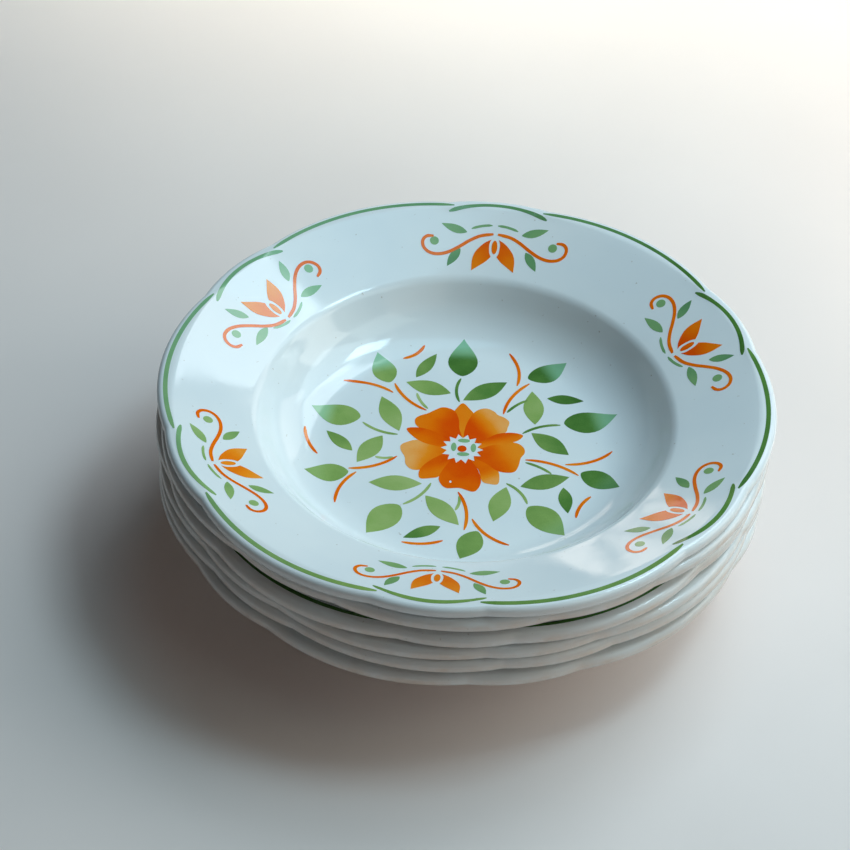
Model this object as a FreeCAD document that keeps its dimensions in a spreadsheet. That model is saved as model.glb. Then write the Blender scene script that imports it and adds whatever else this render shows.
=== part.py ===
"""Six nested soup plates of glazed earthenware, each one a separate body.

Every plate is turned from one profile: a foot ring, a flat floor, a steep wall, a
sloping flange and a rolled lip.  The lip is cut to twelve convex lobes, six long and
six short, which meet in soft notches.  The plates stand in each other, the foot ring
of one on the floor of the next, each turned and set down a little differently, and
the flange of a plate may have sagged or lifted a little in the kiln.

Units are millimetres.  +Z is up, and the origin is on the table, under the middle of
the stack.
"""
import FreeCAD, Part
import math
import os
import Sketcher

UP = FreeCAD.Vector(0, 0, 1)

# Driving dimensions of one plate, measured from the table that it would stand on.
PLATE = {
    "foot_depth": 3.2,
    "foot_outer": 54.0,
    "foot_inner": 49.5,
    "floor_height": 7.2,
    "floor_radius": 68.45,
    "wall_radius": 80.5,
    "wall_height": 26.2,
    "land_radius": 112.5,
    "land_height": 38.8,
    "under_floor_radius": 69.1,
    "under_wall_radius": 81.5,
    "under_wall_height": 22.7,
    "under_lip_radius": 109.5,
    "under_lip_height": 33.5,
    "blank_radius": 125.0,
    "blank_height": 46.0,
}

# The outline of the lip: reach of the lobes and of the notches between them.
OUTLINE = {
    "long_reach": 118.8,
    "short_reach": 117.6,
    "notch_reach": 116.4,
    "short_half_angle": 10.3,
    "notch_round": 6.0,
}

# Radii of the rounded edges.
ROUNDS = {
    "floor_round": 26.0,
    "shoulder_round": 7.0,
    "land_round": 6.0,
    "under_floor_round": 23.0,
    "under_shoulder_round": 4.0,
    "under_lip_round": 6.0,
    "lip_top_round": 2.3,
    "lip_under_round": 2.2,
    "foot_round": 1.2,
}

# One row for each plate, from the table up: how far it is turned (the direction of
# one short lobe, in degrees), where its middle stands, and how far its rim has lifted.
STACK = [
    {"turn": 42.0, "off_x": 0.12, "off_y": -0.10, "lift": 0.0},
    {"turn": 48.0, "off_x": 0.22, "off_y": -0.60, "lift": 1.3},
    {"turn": 44.4, "off_x": 0.57, "off_y": -0.40, "lift": 0.0},
    {"turn": 29.0, "off_x": -0.23, "off_y": -0.60, "lift": -0.4},
    {"turn": 56.0, "off_x": 0.57, "off_y": 0.00, "lift": 1.3},
    {"turn": 23.6, "off_x": 0.42, "off_y": -0.40, "lift": 0.0},
]

LOBE_PAIRS = 6


def lobe_circle(reach, notch_reach, half_angle):
    """Radius and centre distance of the circle through a lobe's crown and two notches."""
    angle = math.radians(half_angle)
    chord_distance = notch_reach * math.cos(angle)
    half_chord = notch_reach * math.sin(angle)
    rise = reach - chord_distance
    radius = (half_chord ** 2 + rise ** 2) / (2 * rise)
    return radius, reach - radius


def fill_sheet(doc):
    """The spreadsheet with every driving dimension, one row each."""
    sheet = doc.addObject("Spreadsheet::Sheet", "dims")
    rows = dict(PLATE)
    rows.update(OUTLINE)
    rows.update(ROUNDS)
    short_half = OUTLINE["short_half_angle"]
    long_half = 180.0 / LOBE_PAIRS - short_half
    notch = OUTLINE["notch_reach"]
    rows["long_lobe_radius"], rows["long_lobe_centre"] = lobe_circle(
        OUTLINE["long_reach"], notch, long_half)
    rows["short_lobe_radius"], rows["short_lobe_centre"] = lobe_circle(
        OUTLINE["short_reach"], notch, short_half)
    nest_pitch = PLATE["floor_height"]
    for number, plate in enumerate(STACK, start=1):
        rows[f"turn_of_plate_{number}"] = plate["turn"]
        rows[f"off_x_of_plate_{number}"] = plate["off_x"]
        rows[f"off_y_of_plate_{number}"] = plate["off_y"]
        rows[f"lift_of_plate_{number}"] = plate["lift"]
        rows[f"level_of_plate_{number}"] = nest_pitch * (number - 1)
    for row, (alias, value) in enumerate(rows.items(), start=1):
        sheet.set(f"A{row}", alias)
        sheet.set(f"B{row}", f"{value:.6f}")
        sheet.setAlias(f"B{row}", alias)
    doc.recompute()
    return sheet


def new_sketch(body, role, name):
    """An empty sketch on one of the body's own origin planes."""
    sketch = body.newObject("Sketcher::SketchObject", name)
    plane = next(f for f in body.Origin.OriginFeatures if f.Role == role)
    sketch.AttachmentSupport = [(plane, "")]
    sketch.MapMode = "FlatFace"
    return sketch


def origin_axis(body, role):
    return next(f for f in body.Origin.OriginFeatures if f.Role == role)


def bind_point(sketch, geometry, point, axis, expression, value):
    """Hold one coordinate of a point to an expression, or to the axis when it is zero."""
    if expression == "0":
        on_axis = -2 if axis == "X" else -1
        sketch.addConstraint(Sketcher.Constraint("PointOnObject", geometry, point, on_axis))
        return
    kind = "DistanceX" if axis == "X" else "DistanceY"
    index = sketch.addConstraint(Sketcher.Constraint(kind, -1, 1, geometry, point, value))
    label = f"corner_{geometry}_{axis.lower()}"
    sketch.renameConstraint(index, label)
    sketch.setExpression(f"Constraints.{label}", expression)


def closed_profile(sketch, sheet, corners):
    """A closed outline of straight lines, each corner held to the sheet's cells."""
    places = [(float(sheet.evalExpression(x)), float(sheet.evalExpression(y)))
              for x, y in corners]
    first = sketch.GeometryCount
    count = len(places)
    for index, (x, y) in enumerate(places):
        next_x, next_y = places[(index + 1) % count]
        start = FreeCAD.Vector(x, y, 0)
        end = FreeCAD.Vector(next_x, next_y, 0)
        sketch.addGeometry(Part.LineSegment(start, end), False)
    for index in range(count):
        following = first + (index + 1) % count
        sketch.addConstraint(Sketcher.Constraint("Coincident", first + index, 2, following, 1))
    for index, (x, y) in enumerate(corners):
        bind_point(sketch, first + index, 1, "X", x, places[index][0])
        bind_point(sketch, first + index, 1, "Y", y, places[index][1])


def lobe_disc(body, sheet, kind, turn):
    """A disc whose rim is one kind of lobe, repeated round the plate."""
    sketch = new_sketch(body, "XY_Plane", f"{kind}_lobe_{body.Name}")
    centre = float(sheet.evalExpression(f"{kind}_lobe_centre"))
    radius = float(sheet.evalExpression(f"{kind}_lobe_radius"))
    angle = math.radians(turn)
    middle = FreeCAD.Vector(centre * math.cos(angle), centre * math.sin(angle), 0)
    circle = sketch.addGeometry(Part.Circle(middle, UP, radius), False)
    bind_radius = sketch.addConstraint(Sketcher.Constraint("Radius", circle, radius))
    sketch.renameConstraint(bind_radius, "lobe_radius")
    sketch.setExpression("Constraints.lobe_radius", f"dims.{kind}_lobe_radius")
    if turn:
        bind_point(sketch, circle, 3, "X", f"dims.{kind}_lobe_centre * cos({turn} deg)", middle.x)
        bind_point(sketch, circle, 3, "Y", f"dims.{kind}_lobe_centre * sin({turn} deg)", middle.y)
    else:
        bind_point(sketch, circle, 3, "X", f"dims.{kind}_lobe_centre", middle.x)
        bind_point(sketch, circle, 3, "Y", "0", 0.0)
    pad = body.newObject("PartDesign::Pad", f"{kind}_disc_{body.Name}")
    pad.Profile = sketch
    pad.setExpression("Length", "dims.blank_height")
    pattern = body.newObject("PartDesign::PolarPattern", f"{kind}_ring_{body.Name}")
    pattern.Originals = [pad]
    pattern.Axis = (origin_axis(body, "Z_Axis"), [""])
    pattern.Angle = 360
    pattern.Occurrences = LOBE_PAIRS
    body.Tip = pattern
    return pattern


def turned_cut(body, sheet, name, profiles):
    """Cut away the ring swept by closed profiles turned about the plate's axis."""
    sketch = new_sketch(body, "XZ_Plane", f"{name}_sketch_{body.Name}")
    for corners in profiles:
        closed_profile(sketch, sheet, corners)
    groove = body.newObject("PartDesign::Groove", f"{name}_{body.Name}")
    groove.Profile = sketch
    groove.ReferenceAxis = (sketch, ["V_Axis"])
    groove.Angle = 360
    body.Tip = groove
    return groove


def edge_names(shape, wanted):
    return [f"Edge{i}" for i, edge in enumerate(shape.Edges, start=1) if wanted(edge)]


def is_circle(edge, radius, height):
    """True for a level circle about the plate's axis."""
    if not isinstance(edge.Curve, Part.Circle):
        return False
    centre = edge.Curve.Center
    on_axis = math.hypot(centre.x, centre.y) < 0.01
    return on_axis and abs(edge.Curve.Radius - radius) < 0.05 and abs(centre.z - height) < 0.05


def is_upright(edge):
    box = edge.BoundBox
    return box.ZLength > 1.0 and box.XLength < 0.01 and box.YLength < 0.01


def is_rim_edge(edge, height, least_reach):
    """True for a level edge of the lobed rim at the given height."""
    box = edge.BoundBox
    level = box.ZLength < 0.01 and abs(box.ZMin - height) < 0.05
    middle = edge.valueAt((edge.FirstParameter + edge.LastParameter) / 2)
    return level and math.hypot(middle.x, middle.y) > least_reach


def round_edges(doc, body, name, radius_alias, wanted):
    """A fillet on the edges of the body's last feature that the test picks out."""
    doc.recompute()
    base = body.Tip
    names = edge_names(base.Shape, wanted)
    if not names:
        raise RuntimeError(f"{body.Label}: no edge found for {name}")
    fillet = body.newObject("PartDesign::Fillet", f"{name}_{body.Name}")
    fillet.Base = (base, names)
    fillet.setExpression("Radius", f"dims.{radius_alias}")
    body.Tip = fillet
    return fillet


def make_plate(doc, sheet, number, plate):
    """One soup plate, in its place in the stack."""
    body = doc.addObject("PartDesign::Body", f"soup_plate_{number}")
    body.Label = f"soup_plate_{number}"
    lift = f"dims.lift_of_plate_{number}"

    lobe_disc(body, sheet, "short", 0)
    lobe_disc(body, sheet, "long", 180.0 / LOBE_PAIRS)
    round_edges(doc, body, "notches", "notch_round", is_upright)

    well = [
        ("0", "dims.floor_height"),
        ("dims.floor_radius", "dims.floor_height"),
        ("dims.wall_radius", "dims.wall_height"),
        ("dims.land_radius", f"dims.land_height + {lift}"),
        ("dims.blank_radius", f"dims.land_height + {lift}"),
        ("dims.blank_radius", "dims.blank_height + 4"),
        ("0", "dims.blank_height + 4"),
    ]
    underside = [
        ("dims.foot_outer", "0"),
        ("dims.foot_outer", "dims.foot_depth"),
        ("dims.under_floor_radius", "dims.foot_depth"),
        ("dims.under_wall_radius", "dims.under_wall_height"),
        ("dims.under_lip_radius", f"dims.under_lip_height + {lift}"),
        ("dims.blank_radius", f"dims.under_lip_height + {lift}"),
        ("dims.blank_radius", "0"),
    ]
    foot_recess = [
        ("0", "0"),
        ("dims.foot_inner", "0"),
        ("dims.foot_inner", "dims.foot_depth"),
        ("0", "dims.foot_depth"),
    ]
    turned_cut(body, sheet, "well", [well])
    turned_cut(body, sheet, "underside", [underside])
    turned_cut(body, sheet, "foot_recess", [foot_recess])

    land = PLATE["land_height"] + plate["lift"]
    lip_under = PLATE["under_lip_height"] + plate["lift"]
    least_reach = PLATE["land_radius"] + 1.0
    round_edges(doc, body, "lip_top", "lip_top_round",
                lambda edge: is_rim_edge(edge, land, least_reach))
    round_edges(doc, body, "lip_under", "lip_under_round",
                lambda edge: is_rim_edge(edge, lip_under, least_reach))
    turned_edges = [
        ("floor_edge", "floor_round", PLATE["floor_radius"], PLATE["floor_height"]),
        ("shoulder", "shoulder_round", PLATE["wall_radius"], PLATE["wall_height"]),
        ("land_edge", "land_round", PLATE["land_radius"], land),
        ("under_floor_edge", "under_floor_round",
         PLATE["under_floor_radius"], PLATE["foot_depth"]),
        ("under_shoulder", "under_shoulder_round",
         PLATE["under_wall_radius"], PLATE["under_wall_height"]),
        ("under_lip_edge", "under_lip_round", PLATE["under_lip_radius"], lip_under),
    ]
    for name, alias, radius, height in turned_edges:
        round_edges(doc, body, name, alias,
                    lambda edge, r=radius, z=height: is_circle(edge, r, z))
    round_edges(doc, body, "foot_edges", "foot_round",
                lambda edge: any(is_circle(edge, radius, height)
                                 for radius in (PLATE["foot_inner"], PLATE["foot_outer"])
                                 for height in (0.0, PLATE["foot_depth"])))

    body.Placement = FreeCAD.Placement(FreeCAD.Vector(0, 0, 0),
                                       FreeCAD.Rotation(UP, plate["turn"]))
    body.setExpression("Placement.Base.x", f"dims.off_x_of_plate_{number}")
    body.setExpression("Placement.Base.y", f"dims.off_y_of_plate_{number}")
    body.setExpression("Placement.Base.z", f"dims.level_of_plate_{number}")
    body.setExpression("Placement.Rotation.Angle", f"dims.turn_of_plate_{number}")
    doc.recompute()
    return body


def check_document(doc, bodies):
    """Stop on any failed feature or broken solid before a file is written."""
    for item in doc.Objects:
        if "Invalid" in item.State or "Error" in item.State:
            raise RuntimeError(f"{item.Label} failed: {item.State}")
    for body in bodies:
        shape = body.Shape
        if shape.isNull() or not shape.isValid() or len(shape.Solids) != 1:
            raise RuntimeError(f"{body.Label} is not one valid solid")


def main():
    doc = FreeCAD.newDocument("nested_soup_plates")
    sheet = fill_sheet(doc)
    bodies = [make_plate(doc, sheet, number, plate)
              for number, plate in enumerate(STACK, start=1)]
    check_document(doc, bodies)
    os.makedirs("parts", exist_ok=True)
    for body in bodies:
        body.Shape.exportStep(os.path.join("parts", body.Label + ".step"))
        box = body.Shape.BoundBox
        print(f"{body.Label}: volume {body.Shape.Volume / 1000:.1f} cm3, "
              f"x {box.XMin:.2f}..{box.XMax:.2f}, y {box.YMin:.2f}..{box.YMax:.2f}, "
              f"z {box.ZMin:.2f}..{box.ZMax:.2f}")


main()
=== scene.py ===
"""Looks of the six nested soup plates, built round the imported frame.

Each plate is a turned and lobed mesh that stands for its CAD node.  Its decoration is
thin closed slabs of glaze colour that follow the plate's surface and ride with it.
Plans are in millimetres in a plate's own frame: x and y level from the plate's axis,
z up from its foot.  Only the last step to a mesh turns them into metres.
"""

import math

import bpy
import numpy as np
from mathutils import Matrix, Vector
from mathutils.geometry import delaunay_2d_cdt


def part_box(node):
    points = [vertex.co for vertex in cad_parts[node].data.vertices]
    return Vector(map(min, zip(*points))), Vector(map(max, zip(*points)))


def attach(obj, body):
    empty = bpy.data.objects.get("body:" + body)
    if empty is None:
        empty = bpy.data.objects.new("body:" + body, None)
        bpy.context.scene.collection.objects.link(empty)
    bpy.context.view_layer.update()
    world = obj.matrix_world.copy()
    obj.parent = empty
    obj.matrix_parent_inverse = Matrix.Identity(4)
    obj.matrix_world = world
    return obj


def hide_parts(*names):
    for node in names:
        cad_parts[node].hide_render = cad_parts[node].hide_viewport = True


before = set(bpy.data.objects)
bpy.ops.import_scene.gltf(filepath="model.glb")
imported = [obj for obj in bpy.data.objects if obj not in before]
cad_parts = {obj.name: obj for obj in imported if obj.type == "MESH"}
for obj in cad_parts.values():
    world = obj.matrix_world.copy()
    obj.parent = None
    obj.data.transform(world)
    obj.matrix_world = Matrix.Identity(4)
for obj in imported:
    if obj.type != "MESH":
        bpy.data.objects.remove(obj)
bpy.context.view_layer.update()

MM = 0.001
PLATE_COUNT = 6
TOP = PLATE_COUNT

# Profile of a plate, in millimetres: radius, height, radius of the round at the corner.
FLOOR = (68.45, 7.2, 26.0)
SHOULDER = (80.5, 26.2, 7.0)
LAND = (112.5, 38.8, 6.0)
UNDER_LIP = (109.5, 33.5, 6.0)
UNDER_SHOULDER = (81.5, 22.7, 4.0)
UNDER_FLOOR = (69.1, 3.2, 23.0)
FOOT_OUTER = 54.0
FOOT_INNER = 49.5
FOOT_ROUND = 1.2
LIP_TOP_ROUND = 2.3
LIP_UNDER_ROUND = 2.2
LIP_TOP_DEPTH = 2.6            # the upper profile ends this far under the land's height
LIP_UNDER_DEPTH = 2.8          # and the lower one starts here
TOP_ARC_STEP = 4.0             # degrees of a round from point to point
UNDER_ARC_STEP = 12.0
BARE_FOOT_THICKNESS = 0.25
BARE_FOOT_PROUD = 0.03

# Outline of the lip.
LONG_REACH = 118.8
SHORT_REACH = 117.6
NOTCH_REACH = 116.4
SHORT_HALF = 10.3
LONG_HALF = 19.7
NOTCH_BLEND = 0.16
MEAN_REACH = 118.0
SHORT_RUNS = 20                # steps of the mesh along each kind of lobe
LONG_RUNS = 38
NOTCH_CROWDING = 0.75          # how strongly the steps crowd towards the notches

# How far each plate is turned: the direction of one short lobe, from the table up.
TURNS = (42.0, 48.0, 44.4, 29.0, 56.0, 23.6)

RIPPLE = 0.07          # greatest rise of the glaze's slow waves
RIPPLE_WAVES = 7
RIPPLE_LENGTHS = (26.0, 80.0)
GREEN_RISE = 0.06      # how far a slab of green stands over the glaze
ORANGE_RISE = 0.08     # the orange was laid second, over the green
PAINT_SINK = 0.06      # and how far it reaches below
LIP_INSET = 0.03       # the glazed mesh's lip lies this far within the CAD outline
PATH_STEP = 3.5        # points of a profile are no further apart than this
FLANGE_END = LAND[0] - 1.0     # the profile is the same all round as far as here

# How warm a tint the glaze is drawn with at its lips and underside, from 0 to 1: partly wear from
# handling, partly painted warm bounce light from the table.
TOP_LIP_WEAR_AND_BOUNCE = 0.3
# the lower plates' lips get the most tint: painted warm bounce light from the table
LOWER_LIP_WEAR_AND_BOUNCE = 1.0
UNDERSIDE_WEAR_AND_BOUNCE = 0.8
CREST_WEAR_AND_BOUNCE_SHARE = 0.1304       # a lip's crest, which faces up and away from the warm bounce, gets this share of the lip's tint

# The unglazed edge of the foot ring.
BARE_STEPS = 180
BARE_START = FOOT_ROUND * 0.45
BARE_CHAMFER = 0.25


# ---------------------------------------------------------------- the form of a plate

def lobe_circle(reach, half_angle):
    """Radius and centre distance of the circle through a lobe's crown and its notches."""
    angle = math.radians(half_angle)
    half_chord = NOTCH_REACH * math.sin(angle)
    rise = reach - NOTCH_REACH * math.cos(angle)
    radius = (half_chord ** 2 + rise ** 2) / (2 * rise)
    return radius, reach - radius


def circle_reach(off_axis, radius, centre):
    """Distance from the plate's axis to a lobe circle, in a direction off its middle."""
    across = centre * np.sin(off_axis)
    return centre * np.cos(off_axis) + np.sqrt(np.maximum(radius ** 2 - across ** 2, 0.0))


def lip_reach(azimuth):
    """Distance from the axis to the outline of the lip, azimuth in degrees from a short lobe."""
    folded = np.abs((np.asarray(azimuth, float) + 30.0) % 60.0 - 30.0)
    short = circle_reach(np.radians(folded), *lobe_circle(SHORT_REACH, SHORT_HALF))
    long = circle_reach(np.radians(30.0 - folded), *lobe_circle(LONG_REACH, LONG_HALF))
    overlap = np.maximum(NOTCH_BLEND - np.abs(short - long), 0.0) / NOTCH_BLEND
    return np.maximum(short, long) + overlap ** 2 * NOTCH_BLEND / 4


def rounded_path(corners, arc_step):
    """A path of straight runs with rounded corners, as points at most PATH_STEP apart."""
    path = [np.array(corners[0][:2], float)]
    for before, corner, after in zip(corners, corners[1:], corners[2:]):
        here = np.array(corner[:2], float)
        towards = np.array(before[:2], float) - here
        away = np.array(after[:2], float) - here
        towards /= np.linalg.norm(towards)
        away /= np.linalg.norm(away)
        half = math.acos(np.clip(towards @ away, -1, 1)) / 2
        reach = corner[2] / math.tan(half)
        bisector = (towards + away) / np.linalg.norm(towards + away)
        middle = here + bisector * corner[2] / math.sin(half)
        sweep = math.pi - 2 * half
        steps = max(3, math.ceil(math.degrees(sweep) / arc_step))
        start = here + towards * reach - middle
        end = here + away * reach - middle
        for share in np.linspace(0, 1, steps + 1):
            arm = (math.sin((1 - share) * sweep) * start + math.sin(share * sweep) * end)
            path.append(middle + arm / math.sin(sweep))
    path.append(np.array(corners[-1][:2], float))
    dense = [path[0]]
    for a, b in zip(path, path[1:]):
        runs = max(1, math.ceil(np.linalg.norm(b - a) / PATH_STEP))
        dense += [a + (b - a) * i / runs for i in range(1, runs + 1)]
    return np.array(dense)


class PlateForm:
    """The surface of one plate: its profile, its outline and the slow waves of its glaze."""

    def __init__(self, number):
        low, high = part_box(f"soup_plate_{number}")
        self.number = number
        self.body = f"plate_{number}"
        self.turn = math.radians(TURNS[number - 1])
        self.origin = np.array([(low.x + high.x) / 2, (low.y + high.y) / 2, low.z]) / MM
        lift = (high.z - low.z) / MM - LAND[1]
        land = (LAND[0], LAND[1] + lift, LAND[2])
        under_lip = (UNDER_LIP[0], UNDER_LIP[1] + lift, UNDER_LIP[2])
        self.land_height = land[1]
        self.top = rounded_path(
            [(0.0, FLOOR[1]), FLOOR, SHOULDER, land,
             (MEAN_REACH, land[1], LIP_TOP_ROUND), (MEAN_REACH, land[1] - LIP_TOP_DEPTH)],
            TOP_ARC_STEP)
        self.under = rounded_path(
            [(MEAN_REACH, land[1] - LIP_UNDER_DEPTH), (MEAN_REACH, under_lip[1], LIP_UNDER_ROUND),
             under_lip, UNDER_SHOULDER, UNDER_FLOOR, (FOOT_OUTER, UNDER_FLOOR[1], FOOT_ROUND),
             (FOOT_OUTER, BARE_FOOT_PROUD, FOOT_ROUND), (FOOT_INNER, BARE_FOOT_PROUD, FOOT_ROUND),
             (FOOT_INNER, UNDER_FLOOR[1], FOOT_ROUND), (0.0, UNDER_FLOOR[1])],
            UNDER_ARC_STEP)
        rng = np.random.default_rng(40 + number)
        heading = rng.uniform(0, 2 * math.pi, RIPPLE_WAVES)
        wave = 2 * math.pi / rng.uniform(*RIPPLE_LENGTHS, RIPPLE_WAVES)
        self.waves = np.stack([wave * np.cos(heading), wave * np.sin(heading),
                               rng.uniform(0, 2 * math.pi, RIPPLE_WAVES)])

    def ripple(self, x, y):
        """Depth of the glaze's slow waves, low enough for a slab of colour to fit over it."""
        kx, ky, phase = self.waves
        total = np.sin(np.multiply.outer(x, kx) + np.multiply.outer(y, ky) + phase).sum(-1)
        return RIPPLE * (total / len(kx) - 1.0) - ORANGE_RISE

    def stretch(self, radius, reach):
        """Radius on this azimuth of a point drawn for the mean outline."""
        edge = MEAN_REACH - LIP_TOP_ROUND
        share = np.clip((radius - FLANGE_END) / (edge - FLANGE_END), 0.0, 1.0)
        return radius + share * (reach - MEAN_REACH)

    def height(self, x, y):
        """Height of the upper surface over the plate's foot at plan points."""
        radius = np.hypot(x, y)
        reach = lip_reach(np.degrees(np.arctan2(y, x)))
        edge = reach - LIP_TOP_ROUND
        share = np.clip((radius - FLANGE_END) / (edge - FLANGE_END), 0.0, 1.0)
        drawn = np.where(radius < FLANGE_END, radius, radius + share * (MEAN_REACH - reach))
        return np.interp(drawn, self.top[:, 0], self.top[:, 1]) + self.ripple(x, y)

    def place(self, points):
        """Points in the plate's own frame, as points in the model's frame, in metres."""
        c, s = math.cos(self.turn), math.sin(self.turn)
        x, y, z = np.asarray(points, float).T
        out = np.stack([c * x - s * y, s * x + c * y, z], -1) + self.origin
        return out * MM


def azimuth_steps():
    """Azimuths round a plate, closest together at the twelve notches."""
    steps = []
    for lobe in range(12):
        half, runs = (SHORT_HALF, SHORT_RUNS) if lobe % 2 == 0 else (LONG_HALF, LONG_RUNS)
        share = np.linspace(-1, 1, runs + 1)[:-1]
        crowded = (1 - NOTCH_CROWDING) * share + NOTCH_CROWDING * np.sin(share * math.pi / 2)
        steps.append(30.0 * lobe + half * crowded)
    return np.concatenate(steps)


def add_mesh(name, vertices, faces, materials, smooth=True):
    mesh = bpy.data.meshes.new(name)
    mesh.from_pydata([tuple(v) for v in vertices], [], faces)
    mesh.polygons.foreach_set("use_smooth", [smooth] * len(mesh.polygons))
    for material in materials:
        mesh.materials.append(material)
    mesh.update()
    piece = bpy.data.objects.new(name, mesh)
    bpy.context.scene.collection.objects.link(piece)
    return piece


def ring_faces(rows, columns):
    """Quads between rows of points that each go once round."""
    faces = []
    for row in range(rows - 1):
        a, b = row * columns, (row + 1) * columns
        for i in range(columns):
            j = (i + 1) % columns
            faces.append((a + i, b + i, b + j, a + j))
    return faces


def build_plate(form, glaze):
    """The plate itself, one closed mesh from the middle of its floor round to its underside."""
    azimuths = azimuth_steps()
    angle = np.radians(azimuths)
    reach = lip_reach(azimuths) - LIP_INSET
    columns = len(angle)
    rows, wear_and_bounce_rows = [], []
    # warm tint of the lips and underside: partly wear, partly painted warm bounce light
    lip_wear_and_bounce = TOP_LIP_WEAR_AND_BOUNCE if form.number == TOP else LOWER_LIP_WEAR_AND_BOUNCE
    for radius, height in form.top[1:]:
        r = form.stretch(radius, reach)
        x, y = r * np.cos(angle), r * np.sin(angle)
        fade = np.clip((height - form.land_height + LIP_TOP_ROUND) / LIP_TOP_ROUND, 0, 1)
        if radius < LAND[0]:
            fade = 1.0
        rows.append(np.stack([x, y, height + fade * form.ripple(x, y)], -1))
        wear_and_bounce_rows.append(0.0 if radius < LAND[0] else
                    lip_wear_and_bounce * (1 - fade * (1 - CREST_WEAR_AND_BOUNCE_SHARE)))
    for radius, height in form.under[:-1]:
        r = form.stretch(radius, reach)
        rows.append(np.stack([r * np.cos(angle), r * np.sin(angle),
                              np.full(columns, height)], -1))
        wear_and_bounce_rows.append(lip_wear_and_bounce if radius > UNDER_LIP[0] else UNDERSIDE_WEAR_AND_BOUNCE)
    middle_top = [0.0, 0.0, form.top[0, 1] + float(form.ripple(0.0, 0.0))]
    middle_under = [0.0, 0.0, form.under[-1, 1]]
    points = np.concatenate([np.concatenate(rows), [middle_top, middle_under]])
    faces = [(b, c, d, a) for a, b, c, d in ring_faces(len(rows), columns)]
    pole_top, pole_under = len(points) - 2, len(points) - 1
    last = (len(rows) - 1) * columns
    for i in range(columns):
        j = (i + 1) % columns
        faces.append((pole_top, i, j))
        faces.append((pole_under, last + j, last + i))
    piece = add_mesh(f"{form.body}_glazed_body", form.place(points), faces, [glaze])
    wear_and_bounce = piece.data.attributes.new("wear_and_bounce", "FLOAT", "POINT")
    pole_wear_and_bounce = (0.0, UNDERSIDE_WEAR_AND_BOUNCE)
    wear_and_bounce.data.foreach_set("value", np.append(np.repeat(wear_and_bounce_rows, columns), pole_wear_and_bounce))
    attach(piece, form.body)
    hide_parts(f"soup_plate_{form.number}")


def build_bare_foot(form, clay):
    """The unglazed standing edge of the foot ring, a thin closed ring."""
    inner = FOOT_INNER + BARE_START
    outer = FOOT_OUTER - BARE_START
    section = [(inner, BARE_FOOT_THICKNESS), (inner + BARE_CHAMFER, 0.0),
               (outer - BARE_CHAMFER, 0.0), (outer, BARE_FOOT_THICKNESS)]
    angle = np.linspace(0, 2 * math.pi, BARE_STEPS, endpoint=False)
    points = np.concatenate([np.stack([r * np.cos(angle), r * np.sin(angle),
                                       np.full(BARE_STEPS, z)], -1) for r, z in section])
    faces = ring_faces(len(section), BARE_STEPS)
    last = (len(section) - 1) * BARE_STEPS
    for i in range(BARE_STEPS):
        j = (i + 1) % BARE_STEPS
        faces.append((last + i, i, j, last + j))
    piece = add_mesh(f"{form.body}_bare_foot", form.place(points), faces, [clay], smooth=False)
    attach(piece, form.body)


# ---------------------------------------------------------------- drawing in plan

def unit(vector):
    return np.asarray(vector, float) / np.hypot(*vector)


def left_of(direction):
    return np.array([-direction[1], direction[0]])


def catmull_rom(p, per_run):
    """A smooth curve through points, from the second of them up to the last but one."""
    out = []
    for a, b, c, d in zip(p, p[1:], p[2:], p[3:]):
        for t in np.arange(per_run) / per_run:
            out.append(0.5 * (2 * b + (c - a) * t + (2 * a - 5 * b + 4 * c - d) * t ** 2
                              + (3 * b - a - 3 * c + d) * t ** 3))
    return out


def smooth_through(points, per_run):
    """A smooth curve through points, from the first to the last."""
    p = np.asarray(points, float)
    p = np.concatenate([[2 * p[0] - p[1]], p, [2 * p[-1] - p[-2]]])
    return np.array([*catmull_rom(p, per_run), p[-2]])


def smooth_loop(points, per_run=6):
    """A smooth closed curve through points."""
    p = np.asarray(points, float)
    return np.array(catmull_rom(np.concatenate([p[-1:], p, p[:2]]), per_run))


def cornered(runs, per_run):
    """A closed outline of smooth runs that meet at sharp corners."""
    return np.concatenate([smooth_through(run, per_run)[:-1] for run in runs])


def bowed(start, end, bow, steps=10):
    """A line from start to end that bows to its left by bow millimetres."""
    start, end = np.asarray(start, float), np.asarray(end, float)
    side = left_of(unit(end - start))
    share = np.linspace(0, 1, steps + 1)[:, None]
    return start + (end - start) * share + side * bow * 4 * share * (1 - share)


class Shape:
    """A patch of colour: its outline, and how its tone runs from one point to another."""

    def __init__(self, outline, start=(0, 0), end=(1, 0), tones=(0.5, 0.5), cool=(0.0, 0.0),
                 turn=(0.0, 1.0)):
        self.outline = np.asarray(outline, float)
        self.start = np.asarray(start, float)
        self.end = np.asarray(end, float)
        self.tones = tones
        self.cool = cool
        self.turn = turn
        self.spine = np.zeros((0, 2))

    def moved(self, matrix, shift):
        m = np.asarray(matrix, float)
        shape = Shape(self.outline @ m.T + shift, m @ self.start + shift,
                      m @ self.end + shift, self.tones, self.cool, self.turn)
        shape.spine = self.spine @ m.T + shift
        return shape

    def shade(self, points):
        """Tone and coolness at plan points."""
        run = self.end - self.start
        share = ((points - self.start) @ run) / (run @ run)
        share = np.clip((share - self.turn[0]) / (self.turn[1] - self.turn[0]), 0.0, 1.0)
        share = share * share * (3 - 2 * share)
        return (self.tones[0] + (self.tones[1] - self.tones[0]) * share,
                self.cool[0] + (self.cool[1] - self.cool[0]) * share)


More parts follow.
